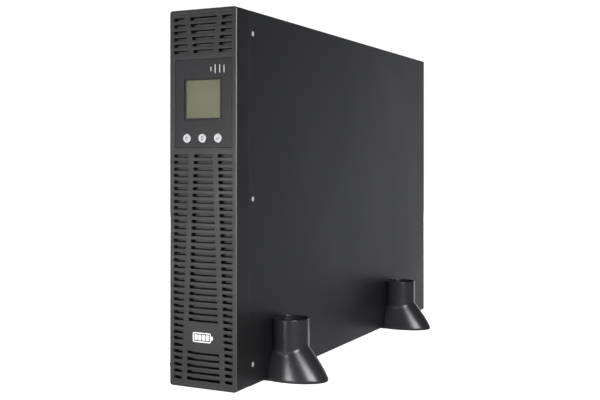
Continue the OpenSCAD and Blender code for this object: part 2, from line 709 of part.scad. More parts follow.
module slot_screws() color("#b8bbbd") in_case() for (z = slot_screw_z) {
    rod_y(slot_screw_x, case_d + sheet, case_d + 6, z, 3.6);
    rod_y(slot_screw_x, rear_y0 - 4, case_d + sheet + 0.1, z, screw_r);
}

module ground_screw() color("#c7b27a") in_case() {
    rod_y(ground[0], case_d, case_d + 1, ground[1], 5);
    rod_y(ground[0], case_d + 1 - eps, case_d + rear_reach, ground[1], 3.4);
    rod_y(ground[0], rear_y0 - 8, case_d + eps, ground[1], fixing_r - 0.15);
}

// ---------- tower feet ----------

// Half widths of the skirt at height z above the case bottom, less an inset
function skirt_half(z, foot, top, inset) = foot - (foot - collar_r) * pow(max(z, 0) / top, flare) - inset;

function skirt_ring(z, inset) = [for (i = [0 : foot_sides - 1]) let (a = 360 * i / foot_sides,
    u = max(z, 0) / side_top)
    [skirt_x + (collar_x - skirt_x) * u + skirt_half(z, skirt_a, side_top, inset) * cos(a),
     skirt_half(z, skirt_b, face_top, inset) * sin(a), z]];

function ring_quads(k) = [for (i = [0 : foot_sides - 1]) let (j = (i + 1) % foot_sides)
    [k * foot_sides + i, (k + 1) * foot_sides + i, (k + 1) * foot_sides + j, k * foot_sides + j]];

// Closed loft through the skirt's rings from z0 to z1
module skirt(z0, z1, inset) {
    zs = concat([z0], [for (k = [0 : foot_rings]) max(z0 + 1, 0) + (z1 - max(z0 + 1, 0)) * k / foot_rings]);
    last = len(zs) - 1;
    polyhedron(
        points = [for (z = zs) each skirt_ring(z, inset)],
        faces = concat(
            [[for (i = [0 : foot_sides - 1]) i]],
            [for (k = [0 : last - 1]) each ring_quads(k)],
            [[for (i = [foot_sides - 1 : -1 : 0]) last * foot_sides + i]]),
        convexity = 6);
}

// Half of a pair of feet, on the +X side, with its collar at y = 0. The collar and the skirt are cut flat
// along the side of the case.
module half_foot() {
    flat_x = half_t + foot_gap;
    difference() {
        union() {
            skirt(-floor_gap, side_top, 0);
            rod_z(collar_x, 0, 5, collar_top, collar_r);
        }
        difference() {
            skirt(-floor_gap - 1, side_top - 3, foot_wall);
            block(0, flat_x + foot_wall, -90, 90, -20, 60);
            rod_z(collar_x, 0, -20, 60, collar_r);
        }
        difference() {
            rod_z(collar_x, 0, -20, collar_top + 5, collar_r - collar_wall);
            block(0, flat_x + foot_wall, -90, 90, -30, collar_top + 10);
        }
        block(-60, flat_x, -90, 90, -20, collar_top + 10);
    }
    block(foot_gap, flat_x + foot_wall, -tongue_half, tongue_half, -floor_gap, 0);
}

module foot_at(y) translate([0, front_y + y, floor_gap]) children();

module front_right_foot() color("#1f1f22") foot_at(foot_front_y) half_foot();

module front_left_foot() color("#1f1f22") foot_at(foot_front_y) mirror([1, 0, 0]) half_foot();

module rear_right_foot() color("#1f1f22") foot_at(foot_front_y + foot_pitch) half_foot();

module rear_left_foot() color("#1f1f22") foot_at(foot_front_y + foot_pitch) mirror([1, 0, 0]) half_foot();

front_bezel();
dust_filters();
display_panel();
display_housing();
lcd_window();
lcd_module();
display_board();
status_light_pipes();
left_button();
middle_button();
right_button();
display_screws();
chassis_tray();
side_cover();
cover_screws();
inner_front_plate();
bay_divider();
rear_panel();
rear_panel_screws();
battery_tray();
battery_door();
battery_handle();
door_screws();
batteries();
battery_links();
battery_plug();
battery_receptacle();
main_power_board();
board_standoffs();
heatsinks();
bus_capacitors();
inductors();
transformer();
power_transistors();
relays();
control_board();
filter_board();
display_ribbon();
fan_frames();
upper_fan_rotor();
lower_fan_rotor();
fan_guards();
fan_screws();
power_inlet();
inlet_pins();
breaker_body();
breaker_button();
output_sockets();
large_output_socket();
usb_port();
serial_port();
network_ports();
emergency_terminal();
slot_cover();
slot_screws();
ground_screw();
front_right_foot();
front_left_foot();
rear_right_foot();
rear_left_foot();
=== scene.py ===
"""Looks of a rack or tower uninterruptible power supply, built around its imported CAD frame."""

import json
import math

import bmesh
import bpy
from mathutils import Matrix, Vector
from mathutils.geometry import delaunay_2d_cdt

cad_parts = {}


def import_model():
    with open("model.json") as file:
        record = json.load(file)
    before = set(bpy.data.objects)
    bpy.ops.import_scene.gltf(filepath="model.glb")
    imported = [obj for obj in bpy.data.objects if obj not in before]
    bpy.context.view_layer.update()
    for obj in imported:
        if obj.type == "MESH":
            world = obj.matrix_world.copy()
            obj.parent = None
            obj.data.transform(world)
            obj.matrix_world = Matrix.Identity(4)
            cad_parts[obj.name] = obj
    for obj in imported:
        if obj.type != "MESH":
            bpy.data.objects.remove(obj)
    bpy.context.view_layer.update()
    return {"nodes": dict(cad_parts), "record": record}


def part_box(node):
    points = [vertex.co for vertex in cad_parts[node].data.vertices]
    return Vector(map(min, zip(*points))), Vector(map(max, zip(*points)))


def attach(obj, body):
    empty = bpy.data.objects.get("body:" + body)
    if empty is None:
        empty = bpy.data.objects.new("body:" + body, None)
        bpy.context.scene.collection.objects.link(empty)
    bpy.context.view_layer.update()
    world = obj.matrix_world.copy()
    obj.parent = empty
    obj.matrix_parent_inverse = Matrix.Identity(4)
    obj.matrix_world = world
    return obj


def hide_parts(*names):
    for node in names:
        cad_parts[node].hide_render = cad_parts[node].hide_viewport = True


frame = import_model()

# Lengths below are millimetres in the case's own frame: X across the thickness, Y back from the
# bezel's face, Z up from the bottom of the case.
MM = 0.001
CASE_LOW, CASE_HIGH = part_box("side_cover")
FRONT_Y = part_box("front_bezel")[0].y
BASE_Z = CASE_LOW.z
HALF_T = CASE_HIGH.x / MM
CASE_H = (CASE_HIGH.z - CASE_LOW.z) / MM


def case_box(node):
    """A CAD node's lowest and highest corners in the case's frame, in millimetres."""
    low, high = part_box(node)
    shift = Vector((0, FRONT_Y, BASE_Z))
    return (low - shift) / MM, (high - shift) / MM


def world(x, y, z):
    return Vector((x * MM, FRONT_Y + y * MM, BASE_Z + z * MM))


# The air slots: rows under each other, in three columns that two slanting bars part.
SLOT_H = 3.6
SLOT_R = 0.9
BAR_W = 6.8
UPPER = {"top": 422.0, "rows": 6, "pitch": 7.54, "bar": 21.45, "lean": 0.121}
LOWER = {"top": 264.8, "rows": 35, "pitch": 7.51, "bar": 15.9, "lean": -0.0382}
# Height of the lighter, dusty band painted on the filter foam behind each slot row, and the blur of its
# edges; behind the bars the foam is painted near black as painted shade.
DUST_AND_LIGHT_H = 2.9
DUST_AND_SHADE_BLUR = 0.5


# ---------- materials ----------

def set_range(node, low, high, to_low, to_high):
    """Sets a Map Range node's four ends."""
    for key, number in zip(("From Min", "From Max", "To Min", "To Max"), (low, high, to_low, to_high)):
        node.inputs[key].default_value = number


class Nodes:
    """A material's node tree, with short calls for the nodes that every surface here uses."""

    def __init__(self, name):
        self.material = bpy.data.materials.new(name)
        self.material.use_nodes = True
        self.tree = self.material.node_tree
        self.shader = self.tree.nodes["Principled BSDF"]
        self.place = self.add("ShaderNodeTexCoord").outputs["Object"]

    def add(self, kind, **settings):
        node = self.tree.nodes.new(kind)
        for key, value in settings.items():
            setattr(node, key, value)
        return node

    def link(self, source, target):
        self.tree.links.new(source, target)

    def noise(self, scale, detail=3.0, stretch=None):
        node = self.add("ShaderNodeTexNoise")
        node.inputs["Scale"].default_value = scale
        node.inputs["Detail"].default_value = detail
        if stretch:
            mapping = self.add("ShaderNodeMapping")
            mapping.inputs["Scale"].default_value = stretch
            self.link(self.place, mapping.inputs["Vector"])
            self.link(mapping.outputs["Vector"], node.inputs["Vector"])
        else:
            self.link(self.place, node.inputs["Vector"])
        return node.outputs["Fac"]

    def split(self):
        """The place on the object as separate X, Y and Z."""
        node = self.add("ShaderNodeSeparateXYZ")
        self.link(self.place, node.inputs["Vector"])
        return node.outputs["X"], node.outputs["Y"], node.outputs["Z"]

    def remap(self, value, low, high, to_low, to_high):
        node = self.add("ShaderNodeMapRange")
        self.link(value, node.inputs["Value"])
        set_range(node, low, high, to_low, to_high)
        return node.outputs["Result"]

    def math(self, operation, a, b=0.0):
        node = self.add("ShaderNodeMath", operation=operation)
        for socket, value in zip(node.inputs, (a, b)):
            if isinstance(value, (int, float)):
                socket.default_value = value
            else:
                self.link(value, socket)
        return node.outputs["Value"]

    def mix(self, factor, a, b):
        node = self.add("ShaderNodeMix", data_type="RGBA")
        self.link(factor, node.inputs["Factor"])
        for key, value in (("A", a), ("B", b)):
            socket = next(s for s in node.inputs if s.name == key and s.type == "RGBA")
            if isinstance(value, tuple):
                socket.default_value = (*value, 1.0)
            else:
                self.link(value, socket)
        return next(s for s in node.outputs if s.type == "RGBA")

    def bumps(self, layers):
        """Stacks (height, strength, distance in metres) bumps and drives the normal with them."""
        normal = None
        for height, strength, distance in layers:
            node = self.add("ShaderNodeBump")
            node.inputs["Strength"].default_value = strength
            node.inputs["Distance"].default_value = distance
            self.link(height, node.inputs["Height"])
            if normal:
                self.link(normal, node.inputs["Normal"])
            normal = node.outputs["Normal"]
        self.link(normal, self.shader.inputs["Normal"])

    def edge(self, radius):
        """1 on convex and concave edges, 0 on flats."""
        bevel = self.add("ShaderNodeBevel", samples=4)
        bevel.inputs["Radius"].default_value = radius
        geometry = self.add("ShaderNodeNewGeometry")
        dot = self.add("ShaderNodeVectorMath", operation="DOT_PRODUCT")
        self.link(bevel.outputs["Normal"], dot.inputs[0])
        self.link(geometry.outputs["Normal"], dot.inputs[1])
        return self.remap(dot.outputs["Value"], 0.995, 0.85, 0.0, 1.0)


# In metres: how far an edge's wear reaches, how far in from the sides and the front the painted highlight on
# a front corner starts and is full, and the heights between which that painted highlight grows upwards.
EDGE_WEAR = 0.0006
SIDE_BAND = (0.0006, 0.0001)
FRONT_BAND = (0.0007, 0.0002)
HIGHLIGHT_HEIGHTS = (0.05, 0.36)
HIGHLIGHT_LEAST = 0.25
# Colour of the painted highlight on the front corners, and the factor by which the sides are darkened as
# painted shade.
CORNER_HIGHLIGHT = (0.42, 0.425, 0.435)
SIDE_SHADE = 0.4
SIDE_SMOOTHER = 0.1
WORN_SMOOTHER = 0.22


def corner_highlight_and_side_shade(n, corner, color, tone, roughness, broad):
    """Paints a highlight up the upright front corners, brightest near the top as if lit from above, and
    paints the sides darker than the front as painted shade; the sides are also smoother than the front.
    corner is the (x, y) of the corner in metres."""
    x, y, z = n.split()
    side = n.remap(n.math("ABSOLUTE", x), corner[0] - SIDE_BAND[0], corner[0] - SIDE_BAND[1], 0.0, 1.0)
    front = n.remap(y, corner[1] + FRONT_BAND[0], corner[1] + FRONT_BAND[1], 0.0, 1.0)
    upward = n.remap(z, *HIGHLIGHT_HEIGHTS, HIGHLIGHT_LEAST, 1.0)
    amount = n.math("MULTIPLY", n.remap(broad, 0.3, 0.7, 0.6, 1.0), upward)
    tone = n.mix(side, tone, tuple(c * SIDE_SHADE for c in color))
    tone = n.mix(n.math("MULTIPLY", n.math("MULTIPLY", side, front), amount), tone, CORNER_HIGHLIGHT)
    return tone, n.math("SUBTRACT", roughness, n.math("MULTIPLY", side, SIDE_SMOOTHER))


def surface(name, color, rough, grain, metallic=0.0, specular=0.5, variation=0.12, rough_spread=0.08,
            blotch=18.0, edge_color=None, edge_amount=0.5, corner=None, stretch=None):
    """A general moulded, painted or metal surface. grain is a list of (noise scale, strength, depth)."""
    n = Nodes(name)
    broad = n.noise(blotch, 4.0)
    fine = n.noise(grain[0][0], 2.0, stretch)
    dark = tuple(c * (1 - variation) for c in color)
    light = tuple(min(1.0, c * (1 + variation)) for c in color)
    tone = n.mix(n.math("MULTIPLY", n.math("ADD", broad, fine), 0.5), dark, light)
    roughness = n.remap(broad, 0.3, 0.7, rough - rough_spread, rough + rough_spread)
    if edge_color:
        worn = n.math("MULTIPLY", n.edge(EDGE_WEAR), n.remap(n.noise(160.0), 0.35, 0.65, 0.2, edge_amount))
        tone = n.mix(worn, tone, edge_color)
        # On the bezel: a painted highlight up the front corners and painted shade on the sides.
        if corner:
            tone, roughness = corner_highlight_and_side_shade(n, corner, color, tone, roughness, broad)
        roughness = n.math("SUBTRACT", roughness, n.math("MULTIPLY", worn, WORN_SMOOTHER))
    n.link(tone, n.shader.inputs["Base Color"])
    n.link(roughness, n.shader.inputs["Roughness"])
    n.shader.inputs["Metallic"].default_value = metallic
    n.shader.inputs["Specular IOR Level"].default_value = specular
    n.bumps([(n.noise(scale, 2.0, stretch), strength, depth) for scale, strength, depth in grain])
    return n.material


def foam(name, color, bar_shade):
    """Open-cell filter foam: deep small pits, painted darker down in them as painted shade, grey with dust
    behind the air slots, and painted near black behind the bars as painted shade."""
    n = Nodes(name)
    across, _, up = n.split()
    x = n.math("DIVIDE", n.math("ABSOLUTE", across), MM)
    z = n.math("DIVIDE", n.math("SUBTRACT", up, BASE_Z), MM)

    def behind_slots(grille):
        above = n.math("SUBTRACT", z, grille["top"])
        rows = n.math("DIVIDE", above, grille["pitch"])
        off_row = n.math("MULTIPLY", n.math("PINGPONG", rows, 0.5), grille["pitch"])
        bar = n.math("ADD", n.math("MULTIPLY", above, grille["lean"]), grille["bar"])
        off_bar = n.math("ABSOLUTE", n.math("SUBTRACT", x, bar))
        in_row = n.remap(off_row, DUST_AND_LIGHT_H / 2 - DUST_AND_SHADE_BLUR, DUST_AND_LIGHT_H / 2 + DUST_AND_SHADE_BLUR, 1.0, 0.0)
        clear_of_bar = n.remap(off_bar, BAR_W / 2 - DUST_AND_SHADE_BLUR, BAR_W / 2 + DUST_AND_SHADE_BLUR, 0.0, 1.0)
        return n.math("MULTIPLY", in_row, clear_of_bar)

    upper = n.math("GREATER_THAN", z, LOWER["top"] + LOWER["pitch"])
    upper_dust_and_light = n.math("MULTIPLY", behind_slots(UPPER), upper)
    lower_dust_and_light = n.math("MULTIPLY", behind_slots(LOWER), n.math("SUBTRACT", 1.0, upper))
    # Dusty grey behind the slots, near-black painted shade behind the bars.
    tone = n.mix(n.math("ADD", upper_dust_and_light, lower_dust_and_light), bar_shade, color)
    cells = n.add("ShaderNodeTexVoronoi", feature="F1")
    cells.inputs["Scale"].default_value = 900.0
    n.link(n.place, cells.inputs["Vector"])
    pits = n.remap(cells.outputs["Distance"], 0.1, 0.6, 0.0, 1.0)
    # Painted shade: the colour is up to 30 % darker down in the pits.
    n.link(n.mix(n.remap(pits, 0.0, 1.0, 0.3, 0.0), tone, (0.0, 0.0, 0.0)), n.shader.inputs["Base Color"])
    n.shader.inputs["Roughness"].default_value = 0.95
    n.shader.inputs["Specular IOR Level"].default_value = 0.2
    n.bumps([(pits, 0.8, 0.0004)])
    return n.material


def clear(name, color):
    """Clear acrylic, with faint haze and wiping marks."""
    n = Nodes(name)
    n.shader.inputs["Base Color"].default_value = (*color, 1.0)
    n.shader.inputs["Alpha"].default_value = 0.18
    haze = n.noise(60.0, 4.0, (1.0, 1.0, 0.25))
    n.link(n.remap(haze, 0.3, 0.7, 0.05, 0.14), n.shader.inputs["Roughness"])
    n.bumps([(haze, 0.05, 0.00005)])
    return n.material


def screen(name, color):
    """Unlit reflective liquid crystal: fine dot pitch over an olive grey, painted a little darker to its
    edges as painted shade.
    """
    n = Nodes(name)
    low, high = case_box("lcd_window")
    middle = world((low.x + high.x) / 2, 0, (low.z + high.z) / 2)
    shift = n.add("ShaderNodeMapping")
    shift.inputs["Location"].default_value = (-middle.x, 0, -middle.z)
    n.link(n.place, shift.inputs["Vector"])
    flat = n.add("ShaderNodeVectorMath", operation="MULTIPLY")
    flat.inputs[1].default_value = (1.0, 0.0, 1.0)
    n.link(shift.outputs["Vector"], flat.inputs[0])
    reach = n.add("ShaderNodeVectorMath", operation="LENGTH")
    n.link(flat.outputs["Vector"], reach.inputs[0])
    # Painted shade: the olive grey darkens towards the window's edges.
    edge_shade = n.remap(reach.outputs["Value"], 0.012, 0.034, 0.0, 1.0)
    tone = n.mix(edge_shade, color, tuple(c * 0.86 for c in color))
    grain = n.noise(2600.0, 1.0)
    tone = n.mix(n.remap(grain, 0.4, 0.6, 0.0, 0.12), tone, (0.12, 0.13, 0.09))
    n.link(tone, n.shader.inputs["Base Color"])
    n.link(n.remap(grain, 0.3, 0.7, 0.3, 0.42), n.shader.inputs["Roughness"])
    n.bumps([(grain, 0.05, 0.00003)])
    return n.material


def printed(name, color, rough=0.5):
    """Pad-printed ink, slightly uneven."""
    return surface(name, color, rough, [(2200.0, 0.1, 0.00002)], variation=0.06)


MOULD = [(1500.0, 0.3, 0.00006), (420.0, 0.12, 0.0001)]
SMOOTH_MOULD = [(900.0, 0.08, 0.00004), (60.0, 0.05, 0.0002)]
POWDER = [(1100.0, 0.22, 0.00006), (260.0, 0.16, 0.00012)]
SHEET = [(700.0, 0.1, 0.00004)]

MATERIALS = {
    "bezel_plastic": surface("bezel_plastic", (0.011, 0.0112, 0.0122), 0.46, MOULD, specular=0.5,
                             edge_color=(0.1, 0.101, 0.107), edge_amount=0.8,
                             corner=(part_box("front_bezel")[1].x, FRONT_Y)),
    "panel_plastic": surface("panel_plastic", (0.014, 0.0142, 0.0155), 0.45, SMOOTH_MOULD, specular=0.28,
                             edge_color=(0.05, 0.05, 0.052), edge_amount=0.4),
    # Dusty grey behind the slots, near-black painted shade behind the bars.
    "filter_foam": foam("filter_foam", (0.108, 0.109, 0.113), (0.004, 0.004, 0.0045)),
    "clear_window": clear("clear_window", (0.03, 0.031, 0.026)),
    "screen_glass": screen("screen_glass", (0.206, 0.209, 0.126)),
    "button_plastic": surface("button_plastic", (0.36, 0.364, 0.376), 0.32, SMOOTH_MOULD, variation=0.04,
                              edge_color=(0.55, 0.555, 0.57)),
    "light_guide": surface("light_guide", (0.55, 0.56, 0.55), 0.3, SMOOTH_MOULD, variation=0.03),
    "case_paint": surface("case_paint", (0.0055, 0.0057, 0.0066), 0.42, POWDER, specular=0.42,
                          rough_spread=0.04, variation=0.15, blotch=7.0,
                          edge_color=(0.045, 0.046, 0.048), edge_amount=0.5),
    "zinc_steel": surface("zinc_steel", (0.5, 0.515, 0.535), 0.5, SHEET, metallic=0.55, blotch=25.0,
                          variation=0.05, rough_spread=0.04, edge_color=(0.7, 0.715, 0.735)),
    "screw_steel": surface("screw_steel", (0.55, 0.555, 0.565), 0.5, SHEET, metallic=0.6, blotch=400.0),
    "circuit_board": surface("circuit_board", (0.012, 0.11, 0.035), 0.35, [(1800.0, 0.25, 0.00005)],
                             blotch=240.0, variation=0.35),
    "heatsink_aluminium": surface("heatsink_aluminium", (0.6, 0.62, 0.64), 0.36, SHEET, metallic=1.0,
                                  stretch=(1.0, 0.05, 1.0), edge_color=(0.8, 0.8, 0.82)),
    "battery_case": surface("battery_case", (0.035, 0.04, 0.047), 0.5, MOULD,
                            edge_color=(0.08, 0.085, 0.09)),
    "copper": surface("copper", (0.78, 0.4, 0.2), 0.33, SHEET, metallic=1.0, stretch=(1.0, 1.0, 0.1)),
    "connector_red": surface("connector_red", (0.33, 0.02, 0.018), 0.42, SMOOTH_MOULD),
    "capacitor_sleeve": surface("capacitor_sleeve", (0.01, 0.016, 0.035), 0.3, SMOOTH_MOULD),
    "ferrite": surface("ferrite", (0.05, 0.048, 0.045), 0.6, [(500.0, 0.4, 0.0001)]),
    "component_black": surface("component_black", (0.012, 0.012, 0.013), 0.5, MOULD),
    "ribbon_grey": surface("ribbon_grey", (0.3, 0.31, 0.33), 0.5, [(800.0, 0.3, 0.0001)],
                           stretch=(1.0, 0.02, 1.0)),
    "socket_black": surface("socket_black", (0.014, 0.014, 0.015), 0.44, MOULD,
                            edge_color=(0.05, 0.05, 0.052)),
    "fan_black": surface("fan_black", (0.013, 0.013, 0.014), 0.5, MOULD, edge_color=(0.05, 0.05, 0.052)),
    "brass_pin": surface("brass_pin", (0.78, 0.6, 0.27), 0.28, SHEET, metallic=1.0),
    "port_metal": surface("port_metal", (0.66, 0.66, 0.65), 0.3, SHEET, metallic=1.0, blotch=90.0),
    "terminal_green": surface("terminal_green", (0.02, 0.2, 0.06), 0.45, SMOOTH_MOULD),
    "foot_plastic": surface("foot_plastic", (0.017, 0.0173, 0.0195), 0.29, SMOOTH_MOULD, specular=0.55,
                            rough_spread=0.05, edge_color=(0.08, 0.08, 0.086), edge_amount=0.5),
}
WHITE_INK = printed("white_ink", (0.78, 0.78, 0.77))
GREY_INK = printed("grey_ink", (0.035, 0.035, 0.038))
SEGMENT_INK = printed("segment_ink", (0.188, 0.191, 0.114), 0.35)


# ---------- mesh building ----------

def rounded(x0, x1, z0, z1, r, grow=0.0, steps=6):
    """Rounded rectangle as (x, z) points, grown by grow on every side."""
    x0, x1, z0, z1 = x0 - grow, x1 + grow, z0 - grow, z1 + grow
    r = min(max(r + grow, 0.02), 0.49 * (x1 - x0), 0.49 * (z1 - z0))
    corners = ((x1 - r, z1 - r, 0), (x0 + r, z1 - r, 90), (x0 + r, z0 + r, 180), (x1 - r, z0 + r, 270))
    points = []
    for cx, cz, start in corners:
        for k in range(steps + 1):
            a = math.radians(start + 90 * k / steps)
            points.append((cx + r * math.cos(a), cz + r * math.sin(a)))
    return points


def disc(x, z, r, grow=0.0, steps=10):
    return rounded(x - r, x + r, z - r, z + r, r, grow, steps)


class Shell:
    """A mesh built from rings of vertices that lie in planes across Y."""

    def __init__(self):
        self.bm = bmesh.new()

    def ring(self, points, y):
        return [self.bm.verts.new(world(x, y, z)) for x, z in points]

    def wall(self, a, b):
        for i in range(len(a)):
            j = (i + 1) % len(a)
            self.bm.faces.new((a[i], a[j], b[j], b[i]))

    def tube(self, rings):
        for a, b in zip(rings, rings[1:]):
            self.wall(a, b)

    def cap(self, outer, holes=()):
        """Fills the flat region inside outer and outside the holes. Every ring is convex."""
        loops = [outer, *holes]
        verts = [v for loop in loops for v in loop]
        owner = [k for k, loop in enumerate(loops) for _ in loop]
        flat = [Vector((v.co.x / MM, v.co.z / MM)) for v in verts]
        edges, start = [], 0
        for loop in loops:
            edges += [(start + i, start + (i + 1) % len(loop)) for i in range(len(loop))]
            start += len(loop)
        made = delaunay_2d_cdt(flat, edges, [], 0, 1e-6)
        source = [ids[0] for ids in made[3]]
        for face in made[2]:
            ids = [source[i] for i in face]
            owners = {owner[i] for i in ids}
            if len(owners) == 1 and owners != {0}:
                continue
            if len(set(ids)) == 3:
                self.bm.faces.new([verts[i] for i in ids])

    def plate(self, outer, holes, y0, y1, soft):
        """A flat plate from y0 back to y1, with its front edges rounded by soft. Outer and holes are
        functions of grow."""
        levels = [(y0, soft), (y0 + soft * 0.3, soft * 0.3), (y0 + soft, 0.0), (y1, 0.0)]
        outer_rings = [self.ring(outer(-g), y) for y, g in levels]
        hole_rings = [[self.ring(hole(g), y) for y, g in levels] for hole in holes]
        for rings in [outer_rings, *hole_rings]:
            self.tube(rings)
        self.cap(outer_rings[0], [rings[0] for rings in hole_rings])
        self.cap(outer_rings[-1], [rings[-1] for rings in hole_rings])

    def block(self, x0, x1, y0, y1, z0, z1):
        self.plate(lambda g: rounded(x0, x1, z0, z1, 0.3, g, 2), (), y0, y1, 0.25)

    def plank(self, xs, ys, zs, soft):
        """A box lying flat, with its upright edges rounded."""
        (x0, x1), (y0, y1), (z0, z1) = xs, ys, zs
        rings = []
        for z, g in ((z0, -soft * 0.4), (z0 + soft * 0.4, 0.0), (z1 - soft * 0.4, 0.0), (z1, -soft * 0.4)):
            rings.append([self.bm.verts.new(world(x, y, z)) for x, y in rounded(x0, x1, y0, y1, soft, g, 3)])
        self.tube(rings)
        self.bm.faces.new(rings[0])
        self.bm.faces.new(rings[-1])

    def done(self, name, material, body, replaced=(), crease=35.0):
        bmesh.ops.remove_doubles(self.bm, verts=self.bm.verts, dist=1e-7)
        bmesh.ops.recalc_face_normals(self.bm, faces=self.bm.faces)
        return mesh_piece(name, self.bm, material, body, replaced, crease)


def mesh_piece(name, bm, material, body, replaced=(), crease=35.0):
    """Turns a bmesh into a smooth-shaded piece that rides on a body."""
    mesh = bpy.data.meshes.new(name)
    for face in bm.faces:
        face.smooth = True
    bm.to_mesh(mesh)
    bm.free()
    mesh.set_sharp_from_angle(angle=math.radians(crease))
    mesh.materials.append(material)
    piece = bpy.data.objects.new(name, mesh)
    bpy.context.scene.collection.objects.link(piece)
    flat_normals(piece)
    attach(piece, body)
    if replaced:
        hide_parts(*replaced)
    return piece


def flat_normals(piece):
    """Keeps wide flat faces flat beside rounded edges."""
    weighted = piece.modifiers.new("flat_faces", "WEIGHTED_NORMAL")
    weighted.keep_sharp = True
    weighted.weight = 80


# ---------- front ----------

BEZEL_D = 30.1
FACE_T = 3.2
WALL_T = 2.5
FIELD_LEFT, FIELD_RIGHT = -40.2, 39.0
SLOT_INSET = 0.45
BEZEL_OVER = (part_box("front_bezel")[1].x - CASE_HIGH.x) / MM
BEZEL_CORNER = 3.5
WALL = WALL_T + BEZEL_OVER
FIELD_Z = 3.0
FIELD_Y = 0.6
EDGE_R = 0.8
MARK_ROWS = range(26, 30)
TONGUE_X = (-20.0, 20.0)
TONGUE_Z = (3.0, 426.0)
TONGUE_W = 12.0
TONGUE_T = 3.0
TONGUE_END = 37.0
PANEL_LOW, PANEL_HIGH = case_box("display_panel")
OPENING_GAP = 0.25


def slots():
    """Every air slot as a function of grow."""
    made = []
    for grille in (UPPER, LOWER):
        for row in range(grille["rows"]):
            z = grille["top"] - row * grille["pitch"]
            bar = grille["bar"] + (z - grille["top"]) * grille["lean"]
            inner, outer = bar - BAR_W / 2, bar + BAR_W / 2
            spans = [(FIELD_LEFT + SLOT_INSET, -outer), (outer, FIELD_RIGHT - SLOT_INSET)]
            if grille is UPPER or row not in MARK_ROWS:
                spans.append((-inner, inner))
            z0, z1 = z - SLOT_H / 2, z + SLOT_H / 2
            for x0, x1 in spans:
                made.append(lambda g, x0=x0, x1=x1, z0=z0, z1=z1: rounded(x0, x1, z0, z1, SLOT_R, g, 4))
    return made


def front_bezel():
    shell = Shell()

    def outline(grow):
        return rounded(-HALF_T, HALF_T, 0.0, CASE_H, BEZEL_CORNER - BEZEL_OVER, grow + BEZEL_OVER, 8)

    def pocket(grow):
        return rounded(FIELD_LEFT, FIELD_RIGHT, FIELD_Z, CASE_H - FIELD_Z, 1.5, grow, 4)

    def opening(grow):
        return rounded(-PANEL_HIGH.x - OPENING_GAP, PANEL_HIGH.x + OPENING_GAP,
                       PANEL_LOW.z - OPENING_GAP, PANEL_HIGH.z + OPENING_GAP, 1.2, grow, 4)

    turns = [math.radians(a) for a in (0, 18, 36, 54, 72, 90)]
    outside = [(EDGE_R - EDGE_R * math.cos(a), EDGE_R - EDGE_R * math.sin(a)) for a in turns]
    outer_rings = [shell.ring(outline(-g), y) for y, g in outside]
    rear_edge = ((0.9, 0.0), (0.45, 0.12), (0.12, 0.45), (0.0, 0.9), (0.0, WALL))
    outer_rings += [shell.ring(outline(-g), BEZEL_D - back) for back, g in rear_edge]
    outer_rings.append(shell.ring(outline(-WALL), FACE_T))
    shell.tube(outer_rings)

    rim = [shell.ring(pocket(g), y) for y, g in ((0.0, 0.35), (0.1, 0.1), (0.3, 0.0), (FIELD_Y, 0.0))]
    shell.tube(rim)
    shell.cap(outer_rings[0], [rim[0]])

    holes = []
    for hole in [*slots(), opening]:
        levels = ((FIELD_Y, 0.35), (FIELD_Y + 0.12, 0.12), (FIELD_Y + 0.4, 0.0), (FACE_T, 0.0))
        rings = [shell.ring(hole(g), y) for y, g in levels]
        shell.tube(rings)
        holes.append(rings)
    shell.cap(rim[-1], [rings[0] for rings in holes])
    shell.cap(outer_rings[-1], [rings[-1] for rings in holes])
    for x in TONGUE_X:
        for z in TONGUE_Z:
            shell.block(x - TONGUE_W / 2, x + TONGUE_W / 2, FACE_T - 0.5, TONGUE_END, z, z + TONGUE_T)
    shell.done("front_bezel_moulding", MATERIALS["bezel_plastic"], "bezel", ["front_bezel"])


def generic_mark():
    """A plain battery outline in the blank part of the lower grille."""
    shell = Shell()
    x0, x1, z0, z1 = -13.5, 10.5, 52.0, 63.0
    line, soft = 1.1, 0.02
    pad, cell, cell_pitch = 2.4, 3.9, 5.1
    y0, y1 = FIELD_Y - 0.05, FIELD_Y + 0.1
    shell.plate(lambda g: rounded(x0, x1, z0, z1, 1.6, g, 5),
                [lambda g: rounded(x0 + line, x1 - line, z0 + line, z1 - line, 0.8, g, 5)], y0, y1, soft)
    shell.plate(lambda g: rounded(x1 + 0.7, x1 + 2.6, z0 + 3.4, z1 - 3.4, 0.6, g, 3), (), y0, y1, soft)
    for k in range(4):
        left = x0 + pad + k * cell_pitch
        shell.plate(lambda g, left=left: rounded(left, left + cell, z0 + pad, z1 - pad, 0.5, g, 3),
                    (), y0, y1, soft)
    shell.done("battery_mark", WHITE_INK, "bezel")


SCREEN_LOW, SCREEN_HIGH = case_box("lcd_window")
SCREEN_RIM = 2.3
GLASS_DEPTH = 0.8
BUTTONS = ("left_button", "middle_button", "right_button")
BUTTON_R = 5.0
BUTTON_GAP = 0.6


# Each status light: its middle in X, and its bottom and top.
LIGHTS = ((10.4, 361.0, 366.0), (16.0, 358.6, 368.5), (22.0, 359.2, 368.0), (27.7, 359.0, 367.6))
LIGHT_W = 0.9


def button_centre(name):
    low, high = case_box(name)
    return (low.x + high.x) / 2, (low.z + high.z) / 2


